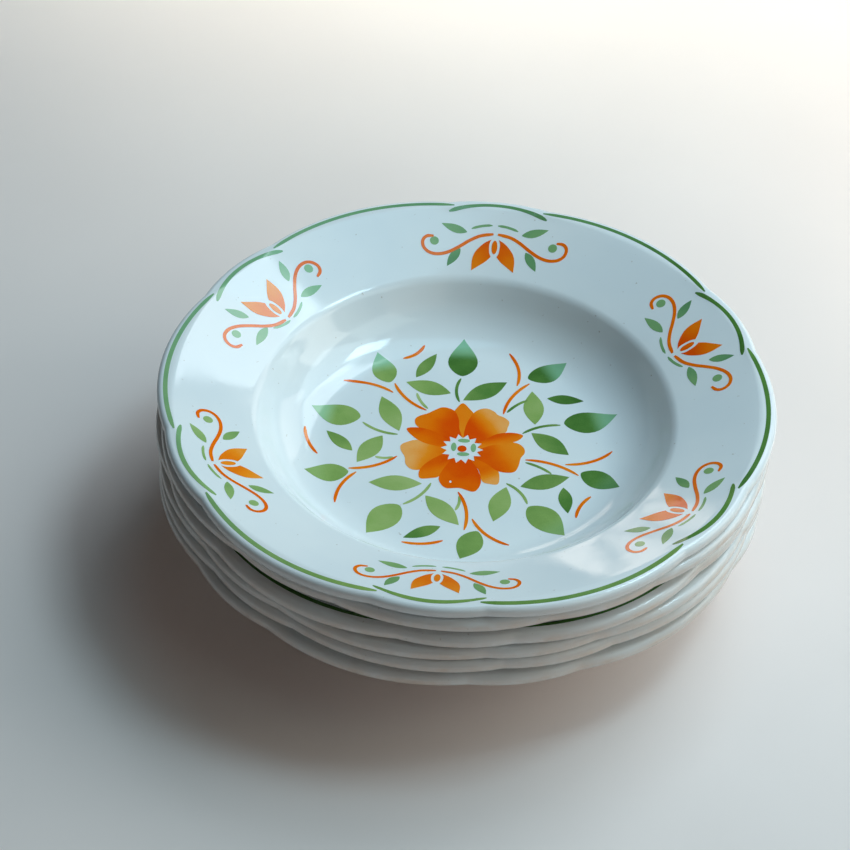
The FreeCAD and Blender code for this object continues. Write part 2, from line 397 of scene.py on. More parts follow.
def stroke(line, width, taper=0.18, tones=(0.6, 0.6), blunt=0.35):
    """A brush line: full width along its run, drawn thin at both ends."""
    line = np.asarray(line, float)
    gap = np.hypot(*np.diff(line, axis=0).T)
    share = np.concatenate([[0], np.cumsum(gap)]) / gap.sum()
    direction = np.gradient(line, axis=0)
    side = np.stack([-direction[:, 1], direction[:, 0]], -1)
    side /= np.hypot(*side.T)[:, None]
    ends = np.clip(np.minimum(share, 1 - share) / taper, 0, 1)
    half = width / 2 * (blunt + (1 - blunt) * np.sin(ends * math.pi / 2))
    outline = np.concatenate([line + side * half[:, None], (line - side * half[:, None])[::-1]])
    shape = Shape(outline, line[0], line[-1], tones)
    shape.spine = line[1:-1]
    return shape


def leaf(base, tip, width, belly=0.42, round_base=0.75, point=0.95, bow=0.0,
         tones=(0.6, 0.6), cool=(0.0, 0.0), turn=(0.0, 1.0), steps=16):
    """A leaf from its base to its pointed tip, widest at the belly."""
    base, tip = np.asarray(base, float), np.asarray(tip, float)
    along = tip - base
    side = left_of(unit(along))
    share = (1 - np.cos(np.linspace(0, math.pi, steps + 1))) / 2
    near = np.sin(np.clip(share / belly, 0, 1) * math.pi / 2) ** round_base
    far = np.cos(np.clip((share - belly) / (1 - belly), 0, 1) * math.pi / 2) ** point
    half = width / 2 * np.where(share < belly, near, far)
    middle = base + along * share[:, None] + side * (bow * 4 * share * (1 - share))[:, None]
    outline = np.concatenate([middle + side * half[:, None],
                              (middle - side * half[:, None])[-2:0:-1]])
    return Shape(outline, base, tip, tones, cool, turn)


def disc(centre, radius, tone, steps=20, squash=1.0, heading=0.0):
    """A round or oval dot."""
    t = np.linspace(0, 2 * math.pi, steps, endpoint=False)
    x, y = radius * np.cos(t), radius * squash * np.sin(t)
    c, s = math.cos(heading), math.sin(heading)
    outline = np.stack([c * x - s * y, s * x + c * y], -1) + centre
    return Shape(outline, centre, np.asarray(centre) + (1, 0), (tone, tone))


# ---------------------------------------------------------------- the decoration

# Leaves and lines of the well, five of each round the flower: where each starts and ends.
BIG_LEAVES = [((-1, 42), (-0.5, 63)), ((39.5, 15.5), (60.5, 20)), ((25, -32), (38.5, -48)),
              ((-24.5, -33), (-36.5, -49.5)), ((-41, 16), (-60.5, 20))]
ROUND_LEAVES = [((25.5, 41.5), (41, 49.5)), ((45.5, -12.5), (60, -21.5)),
                ((5.5, -46), (-1, -62)), ((-44.5, -15.5), (-61.5, -16.5)),
                ((-30, 37), (-35.5, 53))]
RIGHT_LEAVES = [((-0.5, 27.5), (17, 39)), ((26.5, 9.5), (41, -2.5)),
                ((16.5, -21.5), (11.5, -40.5)), ((-16, -21), (-36.5, -21)),
                ((-25.5, 8.5), (-33, 28.5))]
LEFT_LEAVES = [((-5.5, 31.5), (-23.5, 37.5)), ((28, 14.5), (27, 34)), ((22, -21), (41, -15)),
               ((-14.5, -27.5), (-1.5, -43)), ((-32, 5.5), (-41.5, -10))]
SMALL_LEAVES = [((33, 30), (47.5, 29)), ((38.5, -21), (40, -35)), ((-8.5, -44), (-22.5, -50.5)),
                ((-43.5, -3.5), (-54, 7.5)), ((-19.5, 40.5), (-11.5, 55))]
LEAF_STEMS = [((-2, 26.5), (-1.5, 40.5)), ((23, 9), (38, 14.5)), ((16.5, -19.5), (24.5, -30.5)),
              ((-12.5, -20.5), (-23, -32.5)), ((-26, 6.5), (-40, 13))]
SHORT_STEMS = [((17, 21), (25, 28.5)), ((24, -7.5), (34, -13.5)), ((-1.5, -27), (-3, -35)),
               ((-27.5, -6.5), (-34.5, -6.5)), ((-14.5, 22), (-19, 31))]
FLOWER_STEMS = [((15.5, 20), (26, 38.5)), ((24, -6), (44.5, -14)), ((-2, -25), (0.5, -45.5)),
                ((-26, -6), (-44.5, -13.5)), ((-15, 21), (-28, 36.5))]
TENDRILS = [((21, 37), (18, 56)), ((39.5, -8), (58, 0)), ((3.5, -39.5), (17.5, -53)),
            ((-41.5, -15.5), (-49, -33)), ((-28.5, 31), (-48.5, 36.5))]
LOOSE_LINES = [((-16.5, 59), (-25, 51.5)), ((-57, -6), (-62.5, 8)),
               ((-7.5, -51.5), (-23, -53)), ((43, -37.5), (49, -25.5))]

# How far each leaf bends to its left, and how blue its tip is, in the order of the lists.
BIG_BOW = (0.0, -1.0, 0.5, -0.5, 0.9)
BIG_COOL = (1.0, 0.9, 0.2, 0.0, 0.9)
ROUND_BOW = (-0.8, 0.4, 0.0, 0.4, 0.0)
ROUND_COOL = (0.9, 0.2, 0.0, 0.1, 1.0)
# The tones of the five leaves of each kind: big, round, right, left, small.
LEAF_TONES = np.array([(0.88, 0.86, 0.52, 0.38, 0.45), (0.92, 0.84, 0.56, 0.46, 0.48),
                       (0.74, 0.68, 0.38, 0.28, 0.38), (0.46, 0.42, 0.66, 0.3, 0.34),
                       (0.92, 0.82, 0.7, 0.55, 0.64)])

# Widths of the leaves and lines.
BIG_WIDTH = 12.0
ROUND_WIDTH = 9.8
RIGHT_WIDTH = 8.4
LEFT_WIDTH = 8.2
SMALL_WIDTH = 5.4
STEM_WIDTH = 1.25
SHORT_STEM_WIDTH = 1.2
LINE_WIDTH = 1.35

# The heart of the flower: an orange dot, and four green marks round it.
FLOWER_CENTRE = (-0.7, -0.7)
HEART_RADIUS = 1.8
MARKS_CENTRE = (-0.1, 0.1)
MARKS_OUT = 3.85
MARK_RADIUS = 2.4

# Petals of the flower, lowest first: outline, where its tone runs from and to, its tones.
PETALS = [
    ([(3, -4), (10, -7.5), (13, -11.5), (13.9, -16), (13.2, -20), (10, -20), (7.2, -18.6),
      (5.6, -12), (2, -8)],
     (8.5, -11), (12.5, -18), (0.8, 0.15)),
    ([(-2, 6), (-4, 13), (-4.4, 19), (-3.2, 22.4), (-0.6, 25.7), (2.2, 22.4), (4, 19),
      (4.2, 13), (2.4, 6)],
     (-2, 8), (0, 25), (0.4, 0.6)),
    ([(-1, 5), (-1.9, 11), (-2.1, 16), (-3.6, 20.6), (-6.2, 22.6), (-9, 22.9), (-12, 21),
      (-14.4, 19.2), (-17.4, 17.8), (-19.3, 15.8), (-19.2, 12.8), (-17, 10), (-12, 6), (-5, 1)],
     (-4, 10), (-18, 16), (1.0, 0.55)),
    ([(0, 5), (0.6, 12), (2.6, 18), (4.6, 21.2), (7.2, 22.8), (9.6, 22.8), (12, 21.2),
      (13.3, 19.4), (15.8, 18), (17.8, 15.5), (17.2, 12.2), (16, 9), (9, 4), (3, 1)],
     (3.5, 10), (13.5, 16), (1.0, 0.1)),
    ([(5, 0), (12, 4), (20, 3.6), (23.2, 1.2), (23.8, -2), (22.2, -5.2), (21.4, -9.2),
      (20, -12.6), (17.2, -13.5), (13, -12.6), (9, -9), (4, -5)],
     (9, -6), (21, -1), (0.95, 0.4)),
    ([(-5, -1), (-11, 2), (-18, 3.6), (-22, 2.4), (-24.6, 0.4), (-24.6, -2.4), (-23, -6.2),
      (-22.6, -10), (-20.6, -12.8), (-17, -13.2), (-11, -10), (-5, -5)],
     (-10, -6), (-20, -2), (0.65, 0.05)),
    ([(4, 1), (9, 5.4), (13, 8.3), (18, 9.3), (21.6, 8.8), (23.2, 7.6), (21, 4.8), (16, 2.6),
      (11, 1.8), (5, -1)],
     (13, 8), (15.2, 2.4), (1.0, 0.5)),
    ([(-4, 1), (-9, 6.6), (-14, 9.8), (-19, 10.8), (-22.6, 9.8), (-20, 5.6), (-16, 2.2),
      (-10, 0.2), (-5, -1)],
     (-14.5, 9.5), (-18, 3), (0.95, 0.7)),
    ([(-4, -2), (-9, -4.6), (-13.6, -8.4), (-16.6, -12.4), (-17.4, -15.6), (-16.6, -18),
      (-13, -17.8), (-9, -16.2), (-4, -8)],
     (-12, -8.5), (-10, -14.5), (0.95, 0.62)),
    ([(-3.2, -5), (-6.6, -10), (-9.4, -16.6), (-9, -20.2), (-6.6, -23), (-1.6, -22.8),
      (3.4, -24.6), (5.6, -23), (6.8, -18.6), (5.6, -12.6), (2.8, -7), (1.4, -5)],
     (0, -10), (-6, -23), (1.0, 0.8)),
]
STAR_POINTS = 14
STAR_TIP = 8.4
STAR_VALLEY = 6.1
STAR_TURN = 100.0
GLAZE_NICK = (-5.0, -19.4)

# The spray on the flange, drawn on one side of its middle line: u to the side, v along
# the way that it opens, from the point where its two scrolls meet.
SCROLL = [(0.9, 1.0), (6, 2.1), (10.3, 4.5), (14.5, 7.8), (18.8, 10.7), (22.9, 12.1),
          (26.5, 11.8), (28.9, 9.9), (29.5, 7.1), (28.1, 5.0), (25.3, 4.4)]
SIDE_PETAL = [[(1.5, 3.4), (4.2, 5.1), (6.6, 7.7), (8.1, 10.2), (8.7, 13.2), (8.6, 17.5)],
              [(8.6, 17.5), (5.5, 15.1), (3.0, 13.1), (1.2, 11.0)],
              [(1.2, 11.0), (1.9, 9.4), (2.2, 6.9), (2.1, 5.0), (1.5, 3.4)]]
BUD = (0.0, 6.8)
BUD_RADIUS = 3.0
BERRY = (24.3, 6.9)
BERRY_RADIUS = 1.85
UNDER_LEAF = ((11.3, 1.4), (22.1, -1.2))
OVER_LEAF = ((13.4, 8.9), (18.1, 17.2))
SPRAY_LEAF_WIDTH = 3.6
SPRAY_STEM = ((1.1, -2.4), (9.6, -0.3))
SPRAY_STEM_WIDTH = 1.05
# How each spray lies, from the top one clockwise: its tilt in degrees, its shift to the
# side, and the radius of its meeting point.  Every second one opens inwards.  The last two
# say how far its orange stencil slipped from its green one, along u and along v.
SPRAY_LAY = [(2.0, 0.4, 102.0, -0.5, 0.4), (0.6, 0.4, 88.5, 1.5, -1.2),
             (2.1, 0.7, 102.8, -0.45, -1.3), (2.0, -1.0, 89.0, 0.0, 0.0),
             (1.1, 0.6, 102.7, 0.2, -0.9), (3.6, -1.5, 88.0, -1.4, -2.1)]
# How each spray differs: more or less orange on its petals, more or less green on
# its leaves, and how blue those leaves are.  The lighter, bluer shifts are partly the
# sprays' own unevenness, partly painted sheen where the top plate's glaze reflects the sky.
SPRAY_TINT_AND_SHEEN = [(0.0, 0.0, 0.28), (0.05, 0.05, 0.28), (-0.05, -0.05, 0.2),
               (-0.2, -0.12, 0.2), (-0.3, -0.25, 0.12), (-0.25, -0.1, 0.6)]

# The rim line of a lobe: half its angle, its radius at the crown, and its fall to its ends.
SHORT_RIM_LINE = (SHORT_HALF + 0.3, 113.7, 3.6)
LONG_RIM_LINE = (LONG_HALF + 0.9, 115.4, 2.4)
RIM_LINE_WIDTH = 1.75
# the lighter, bluer side of the rim lines is painted sky sheen on the glaze
RIM_LINE_SHEEN_BLUE = 0.55
RIM_LINE_TONE_SWING = 0.2
SHEEN_SIDE = 105.0              # degrees on from the dark side, where the painted sheen is bluest
LOWER_RIM_INSET = 2.0          # the lower plates' rim lines lie this much further in
TOP_LINE_TONE = 0.72
# the lower plates' rim lines are drawn darker: painted shade of the gaps between the stacked lips
LOWER_LINE_SHADED_TONE = 0.95


def well_greens(tones):
    """Leaves, green stems and the four green marks at the heart of the flower."""
    shapes = []
    for i, (big, rounded, right, left, small) in enumerate(tones.T):
        cool = BIG_COOL[i]
        shapes.append(leaf(*BIG_LEAVES[i], BIG_WIDTH, belly=0.4, round_base=0.6, point=1.1,
                           bow=BIG_BOW[i], tones=(big, big - 0.35 * cool),
                           cool=(0.0, 0.8 * cool), turn=(0.45, 0.8)))
        cool = ROUND_COOL[i]
        shapes.append(leaf(*ROUND_LEAVES[i], ROUND_WIDTH, belly=0.42, round_base=0.64,
                           point=1.05, bow=ROUND_BOW[i], tones=(rounded, rounded - 0.3 * cool),
                           cool=(0.0, 0.8 * cool), turn=(0.35, 0.75)))
        shapes.append(leaf(*RIGHT_LEAVES[i], RIGHT_WIDTH, belly=0.5, round_base=0.95, point=1.0,
                           tones=(right - 0.08, right + 0.08)))
        shapes.append(leaf(*LEFT_LEAVES[i], LEFT_WIDTH, belly=0.48, round_base=0.9, point=1.0,
                           tones=(left + 0.06, left - 0.06)))
        shapes.append(leaf(*SMALL_LEAVES[i], SMALL_WIDTH, belly=0.45, round_base=0.85, point=0.95,
                           tones=(small - 0.07, small + 0.07)))
        shapes.append(stroke(bowed(*LEAF_STEMS[i], 1.5), STEM_WIDTH, tones=(big, big - 0.2)))
        shapes.append(stroke(bowed(*SHORT_STEMS[i], 0.7), SHORT_STEM_WIDTH,
                             tones=(big - 0.1, big - 0.35)))
    for quarter in range(4):
        angle = math.radians(90 * quarter - 2)
        outward = np.array([math.cos(angle), math.sin(angle)])
        mark = disc(MARKS_CENTRE + MARKS_OUT * outward, MARK_RADIUS, 0.5, squash=0.45,
                    heading=angle + math.pi / 2)
        mark.cool = (0.45, 0.45)
        shapes.append(mark)
    return [[s] for s in shapes]


def well_oranges():
    """The flower, its stems and the lines round it."""
    groups = []
    for i in range(5):
        groups.append([stroke(bowed(*FLOWER_STEMS[i], 2.0), LINE_WIDTH, tones=(0.8, 0.5))])
        groups.append([stroke(bowed(*TENDRILS[i], -2.2), LINE_WIDTH, tones=(0.55, 0.8))])
    for line in LOOSE_LINES:
        groups.append([stroke(bowed(*line, 1.3), LINE_WIDTH, tones=(0.75, 0.55))])
    groups.append([disc(FLOWER_CENTRE, HEART_RADIUS, 1.1)])
    petals = [Shape(smooth_loop(outline), start, end, tones)
              for outline, start, end, tones in PETALS]
    groups.append(petals)
    return groups


def flower_holes():
    """Where the glaze shows through the flower: the star at its heart and one small nick."""
    outline = []
    for i in range(2 * STAR_POINTS):
        angle = math.radians(STAR_TURN + 180.0 * i / STAR_POINTS)
        radius = STAR_TIP if i % 2 == 0 else STAR_VALLEY
        outline.append((FLOWER_CENTRE[0] + radius * math.cos(angle),
                        FLOWER_CENTRE[1] + radius * math.sin(angle)))
    return [np.array(outline), disc(GLAZE_NICK, 0.5, 0, steps=7, squash=1.5).outline]


def spray_shapes():
    """One spray in its own u, v plan: its orange shapes and its green ones."""
    orange, green = [], []
    for side in (1, -1):
        flip = np.diag([side, 1])
        line = smooth_through(SCROLL, 5)
        orange.append(stroke(line, LINE_WIDTH, taper=0.06, tones=(0.75, 0.75), blunt=0.6)
                      .moved(flip, (0, 0)))
        orange.append(Shape(cornered(SIDE_PETAL, 4), (2, 6), (8, 16), (0.92, 0.62))
                      .moved(flip, (0, 0)))
        green.append(disc(BERRY, BERRY_RADIUS, 0.55, steps=16).moved(flip, (0, 0)))
        green.append(leaf(*UNDER_LEAF, SPRAY_LEAF_WIDTH, tones=(0.7, 0.6), steps=10,
                          bow=0.2).moved(flip, (0, 0)))
        green.append(leaf(*OVER_LEAF, SPRAY_LEAF_WIDTH, tones=(0.72, 0.82), steps=10,
                          bow=-0.2).moved(flip, (0, 0)))
        green.append(stroke(bowed(*SPRAY_STEM, -0.5, 6), SPRAY_STEM_WIDTH,
                            tones=(0.7, 0.6)).moved(flip, (0, 0)))
    orange.append(disc(BUD, BUD_RADIUS, 0.75, steps=18, squash=0.4, heading=math.pi / 2))
    return orange, green


def rim_lines(inset, mean_tone, dark_side):
    """The green lines that follow the twelve lobes, each from one notch to the next.

    They are darkest on the plate's dark side, and bluest nearly a third of a turn on from it:
    partly uneven painting, partly painted sheen, as on the top plate they are drawn lighter and
    bluer where its glaze reflects the sky.
    """
    def sheen_blue_at(angle):
        off = math.radians(angle - dark_side - SHEEN_SIDE)
        return RIM_LINE_SHEEN_BLUE * max(0.0, math.cos(off))

    lines = []
    for lobe in range(12):
        half, crown, fall = SHORT_RIM_LINE if lobe % 2 == 0 else LONG_RIM_LINE
        middle = 30.0 * lobe
        share = np.linspace(-1, 1, 33)
        angle = np.radians(middle + share * half)
        radius = crown - inset - fall * share ** 2
        line = np.stack([radius * np.cos(angle), radius * np.sin(angle)], -1)
        swing = RIM_LINE_TONE_SWING * math.cos(math.radians(middle - dark_side))
        tone = mean_tone + swing
        shape = stroke(line, RIM_LINE_WIDTH, taper=0.07, tones=(tone + 0.05, tone - 0.05))
        shape.cool = (sheen_blue_at(middle - half), sheen_blue_at(middle + half))
        lines.append(shape)
    return lines


def flange_paint(rim_inset, line_tone, dark_side):
    """The six sprays and the rim lines of one plate, as orange and green groups."""
    oranges, greens = [], []
    lines = rim_lines(rim_inset, line_tone, dark_side)
    spray_orange, spray_green = spray_shapes()
    for k in range(6):
        opens_in = k % 2 == 0
        azimuth = math.radians(60.0 - 60.0 * k)
        outward = np.array([math.cos(azimuth), math.sin(azimuth)])
        v = -outward if opens_in else outward
        u = np.array([v[1], -v[0]])
        tilt, aside, radius, slip_u, slip_v = SPRAY_LAY[k]
        tilt = math.radians(tilt)
        turned_u = math.cos(tilt) * u + math.sin(tilt) * v
        turned_v = -math.sin(tilt) * u + math.cos(tilt) * v
        matrix = np.stack([turned_u, turned_v], -1)
        meet = outward * radius + u * aside
        slipped = meet + turned_u * slip_u + turned_v * slip_v
        # tints of this spray, with painted sheen in its lighter, bluer shifts
        more_orange, more_green, blue = SPRAY_TINT_AND_SHEEN[k]
        for shape in spray_orange:
            shape = shape.moved(matrix, slipped)
            if not len(shape.spine):
                shape.tones = (shape.tones[0] + more_orange, shape.tones[1] + more_orange)
            oranges.append([shape])
        for shape in spray_green:
            shape = shape.moved(matrix, meet)
            shape.tones = (shape.tones[0] + more_green, shape.tones[1] + more_green)
            shape.cool = (blue, blue)
            greens.append([shape])
        greens += [[line] for line in lines[2 * k:2 * k + 2]]
    return oranges, greens


# ---------------------------------------------------------------- slabs of colour

GRID_SPACING = 2.0
GRID_ROW_PITCH = 0.866         # of the spacing
GRID_CLEARANCE = 0.45          # of the spacing, from any outline


def signed_area(outline):
    x, y = outline.T
    return 0.5 * float(x @ np.roll(y, -1) - y @ np.roll(x, -1))


def inside(outline, points):
    """True for points inside a closed outline."""
    x, y = points[:, 0][:, None], points[:, 1][:, None]
    a, b = outline, np.roll(outline, -1, axis=0)
    crosses = (a[:, 1] > y) != (b[:, 1] > y)
    with np.errstate(divide="ignore", invalid="ignore"):
        at = (b[:, 0] - a[:, 0]) * (y - a[:, 1]) / (b[:, 1] - a[:, 1]) + a[:, 0]
    return (crosses & (x < at)).sum(1) % 2 == 1


def grid_inside(shapes):
    """Points of an even triangular grid well inside the shapes of a group."""
    everything = np.concatenate([s.outline for s in shapes])
    low, high = everything.min(0), everything.max(0)
    xs = np.arange(low[0], high[0], GRID_SPACING)
    ys = np.arange(low[1], high[1], GRID_SPACING * GRID_ROW_PITCH)
    grid = np.array([(x + (0.5 * GRID_SPACING if j % 2 else 0.0), y)
                     for j, y in enumerate(ys) for x in xs])
    if len(grid) == 0:
        return grid.reshape(0, 2)
    keep = np.zeros(len(grid), bool)
    for s in shapes:
        keep |= inside(s.outline, grid)
    grid = grid[keep]
    if len(grid) == 0:
        return grid
    gaps = np.hypot(grid[:, None, 0] - everything[None, :, 0],
                    grid[:, None, 1] - everything[None, :, 1]).min(1)
    return grid[gaps > GRID_CLEARANCE * GRID_SPACING]


def triangulate(shapes, holes):
    """Triangles of a group of overlapping shapes, each with the topmost shape that holds it."""
    verts, faces = [], []
    for outline in [s.outline for s in shapes] + list(holes):
        if signed_area(outline) < 0:
            outline = outline[::-1]
        faces.append(list(range(len(verts), len(verts) + len(outline))))
        verts += [Vector((float(x), float(y))) for x, y in outline]
    spine = shapes[0].spine
    fill = spine if len(spine) else grid_inside(shapes)
    verts += [Vector((float(x), float(y))) for x, y in fill]
    # Output type 1 keeps only what lies inside the outlines.
    points, _, triangles, _, _, sources = delaunay_2d_cdt(verts, [], faces, 1, 1e-5, True)
    kept, owners = [], []
    for triangle, source in zip(triangles, sources):
        owning = [f for f in source if f < len(shapes)]
        if owning and not any(f >= len(shapes) for f in source):
            kept.append(tuple(triangle))
            owners.append(max(owning))
    return np.array([tuple(p) for p in points]), kept, owners


def slab(name, form, groups, holes, material, slot_name):
    """Thin closed slabs of colour on the plate's upper surface, all in one piece."""
    points, faces, tones, cools, walls = [], [], [], [], []
    for group in groups:
        cut = holes if len(group) > 1 else []
        plan, triangles, owners = triangulate(group, cut)
        used = sorted({v for t in triangles for v in t})
        remap = {v: i for i, v in enumerate(used)}
        plan = plan[used]
        first, count = len(points), len(used)
        top = form.height(plan[:, 0], plan[:, 1])
        rise = ORANGE_RISE if slot_name == "orange_paint" else GREEN_RISE
        points += [(x, y, z + rise) for (x, y), z in zip(plan, top)]
        points += [(x, y, z - PAINT_SINK) for (x, y), z in zip(plan, top)]
        shades = [s.shade(plan) for s in group]
        sides = []      # each face's corners and owner; corners from count on lie beneath
        border = {}
        for triangle, owner in zip(triangles, owners):
            t = [remap[v] for v in triangle]
            a, b, c = plan[t[0]], plan[t[1]], plan[t[2]]
            if (b[0] - a[0]) * (c[1] - a[1]) - (b[1] - a[1]) * (c[0] - a[0]) < 0:
                t = t[::-1]
            sides.append((t, owner))
            sides.append(([count + v for v in t[::-1]], owner))
            for i in range(3):
                edge = (t[i], t[(i + 1) % 3])
                if (edge[1], edge[0]) in border:
                    del border[(edge[1], edge[0])]
                else:
                    border[edge] = owner
        for (a, b), owner in border.items():
            walls.append(len(faces) + len(sides))
            sides.append(((b, a, count + a, count + b), owner))
        for corners, owner in sides:
            faces.append(tuple(first + v for v in corners))
            tone, cool = shades[owner]
            tones += [float(tone[v % count]) for v in corners]
            cools += [float(cool[v % count]) for v in corners]
    piece = add_mesh(name, form.place(np.array(points)), faces, [material])
    mesh = piece.data
    for attribute, values in (("tone", tones), ("cool", cools)):
        layer = mesh.attributes.new(attribute, "FLOAT", "CORNER")
        layer.data.foreach_set("value", values)
    for index in walls:
        mesh.polygons[index].use_smooth = False
    sharp = set()
    for index in walls:
        sharp.update(mesh.polygons[index].edge_keys)
    for edge in mesh.edges:
        if tuple(sorted(edge.vertices)) in sharp:
            edge.use_edge_sharp = True
    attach(piece, form.body)


# ---------------------------------------------------------------- materials

def linear(red, green, blue):
    """A colour given in 0-255 screen values, as the linear values that shaders use."""
    out = []
    for value in (red, green, blue):
        share = value / 255
        out.append(share / 12.92 if share <= 0.04045 else ((share + 0.055) / 1.055) ** 2.4)
    return (*out, 1.0)


class Recipe:
    """A material under construction, with short calls for the nodes that are used here."""

    def __init__(self, name):
        self.material = bpy.data.materials.new(name)
        self.material.use_nodes = True
        self.tree = self.material.node_tree
        self.shader = next(n for n in self.tree.nodes if n.type == "BSDF_PRINCIPLED")
        self.place = self.tree.nodes.new("ShaderNodeTexCoord").outputs["Object"]

    def link(self, source, target):
        self.tree.links.new(source, target)

    def noise(self, scale, detail=3.0, roughness=0.5):
        """Noise whose features are about 1/scale metres across."""
        node = self.tree.nodes.new("ShaderNodeTexNoise")
        node.inputs["Scale"].default_value = scale
        node.inputs["Detail"].default_value = detail
        node.inputs["Roughness"].default_value = roughness
        self.link(self.place, node.inputs["Vector"])
        return node.outputs["Fac"]

    def remap(self, source, low, high, to_low, to_high):
        node = self.tree.nodes.new("ShaderNodeMapRange")
        values = (low, high, to_low, to_high)
        for socket, value in zip(("From Min", "From Max", "To Min", "To Max"), values):
            node.inputs[socket].default_value = value
        self.link(source, node.inputs["Value"])
        return node.outputs["Result"]

    def maths(self, operation, first, second):
        node = self.tree.nodes.new("ShaderNodeMath")
        node.operation = operation
        for socket, value in zip(node.inputs, (first, second)):
            if isinstance(value, (int, float)):
                socket.default_value = value
            else:
                self.link(value, socket)
        return node.outputs[0]

    def mix(self, share, first, second):
        node = self.tree.nodes.new("ShaderNodeMix")
        node.data_type = "RGBA"
        for socket, value in zip((node.inputs[0], node.inputs[6], node.inputs[7]),
                                 (share, first, second)):
            if isinstance(value, (int, float, tuple)):
                socket.default_value = value
            else:
                self.link(value, socket)
        return node.outputs[2]

    def ramp(self, source, stops):
        node = self.tree.nodes.new("ShaderNodeValToRGB")
        elements = node.color_ramp.elements
        while len(elements) < len(stops):
            elements.new(0.5)
        for element, (at, colour) in zip(elements, stops):
            element.position = at
            element.color = colour
        self.link(source, node.inputs["Fac"])
        return node.outputs["Color"]

    def attribute(self, name):
        node = self.tree.nodes.new("ShaderNodeAttribute")
        node.attribute_name = name
        return node.outputs["Fac"]

    def bump(self, source, distance, strength):
        node = self.tree.nodes.new("ShaderNodeBump")
        node.inputs["Strength"].default_value = strength
        node.inputs["Distance"].default_value = distance
        self.link(source, node.inputs["Height"])
        self.link(node.outputs["Normal"], self.shader.inputs["Normal"])

    def finish(self, colour, roughness):
        self.link(colour, self.shader.inputs["Base Color"])
        self.link(roughness, self.shader.inputs["Roughness"])
        return self.material


def gloss(recipe):
    """The clear, glassy, faintly uneven surface that glaze and glaze colours share."""
    recipe.shader.inputs["IOR"].default_value = GLAZE_IOR
    recipe.bump(recipe.noise(160.0, 2.0), 0.00004, 0.5)


def white_glaze():
    """White glaze: faint clouds of tone, a few iron specks, a soft unevenness.

    The lips and undersides are drawn a warmer white: partly wear from handling and stacking,
    partly painted warm bounce light from the table, strongest on the lower plates' lips.
    """
    r = Recipe("white_glaze")
    clouds = r.remap(r.noise(22.0, 3.0), 0.35, 0.65, 0.0, 1.0)
    colour = r.mix(clouds, linear(228, 236, 240), linear(235, 241, 243))
    specks = r.remap(r.noise(620.0, 1.0, 0.4), 0.77, 0.81, 0.0, 0.4)
    colour = r.mix(specks, colour, linear(150, 128, 104))
    patches = r.remap(r.noise(75.0, 4.0, 0.6), 0.3, 0.7, 0.35, 1.0)
    # a warmer white on lips and undersides: partly wear, partly painted warm bounce light
    colour = r.mix(r.maths("MULTIPLY", r.attribute("wear_and_bounce"), patches), colour,
                   linear(222, 205, 192))
    gloss(r)
    return r.finish(colour, r.remap(r.noise(60.0, 4.0), 0.3, 0.7, 0.05, 0.12))


def sprayed(name, stops, cool_colour=None):
    """Colour sprayed under the glaze: its tone comes from the piece, its grain from noise."""
    r = Recipe(name)
    grain = r.remap(r.noise(2600.0, 2.0, 0.6), 0.3, 0.7, -0.05, 0.05)
    drift = r.remap(r.noise(110.0, 3.0), 0.3, 0.7, -0.08, 0.08)
    tone = r.maths("ADD", r.attribute("tone"), r.maths("ADD", grain, drift))
    colour = r.ramp(tone, stops)
    if cool_colour:
        colour = r.mix(r.attribute("cool"), colour, cool_colour)
    gloss(r)
    return r.finish(colour, r.remap(r.noise(60.0, 4.0), 0.3, 0.7, 0.06, 0.13))


def bare_clay():
    """Fired clay without glaze, with the grime of use."""
    r = Recipe("bare_clay")
    grime = r.remap(r.noise(90.0, 5.0, 0.6), 0.35, 0.7, 0.0, 1.0)
    colour = r.mix(grime, linear(222, 208, 186), linear(176, 156, 130))
    r.bump(r.noise(2400.0, 3.0, 0.7), 0.0001, 0.6)
    return r.finish(colour, r.remap(r.noise(500.0, 3.0), 0.3, 0.7, 0.75, 0.95))


def pale_floor():
    """A plain, pale, satin floor."""
    r = Recipe("pale_floor")
    clouds = r.remap(r.noise(5.0, 4.0), 0.3, 0.7, 0.0, 1.0)
    colour = r.mix(clouds, linear(234, 223, 219), linear(240, 229, 225))
    return r.finish(colour, r.remap(r.noise(14.0, 4.0), 0.3, 0.7, 0.42, 0.55))


GLAZE_IOR = 1.5
GREEN_STOPS = [(0.0, linear(182, 202, 134)), (0.45, linear(142, 174, 96)),
               (0.8, linear(88, 134, 62)), (1.0, linear(64, 110, 46))]
ORANGE_STOPS = [(0.0, linear(250, 178, 100)), (0.35, linear(250, 148, 30)),
                (0.7, linear(246, 118, 3)), (1.0, linear(236, 80, 0))]
COOL_GREEN = linear(142, 202, 168)


# ---------------------------------------------------------------- stage, light, camera

FLOOR_HALF = 2.5
LIGHT_AIM = (0.0, 0.0, 0.05)
LIGHT_DISTANCE = 1.5
POOL_HEIGHT = 0.5
POOL_SIZE = 0.3
POOL_SPREAD = 80.0
STUDIO_COLOUR = (1.0, 0.93, 0.87)
STUDIO_STRENGTH = 0.036

# The window: panes in columns and rows, from its first pane on by the steps given.
WINDOW_PANES = 3
WINDOW_AZIMUTH, WINDOW_AZIMUTH_STEP = 95, 4.5
WINDOW_ELEVATION, WINDOW_ELEVATION_STEP = 7, 5
PANE_SIZE = 0.1
PANE_WATTS = 0.085
PANE_COLOUR = (1.0, 0.88, 0.78)

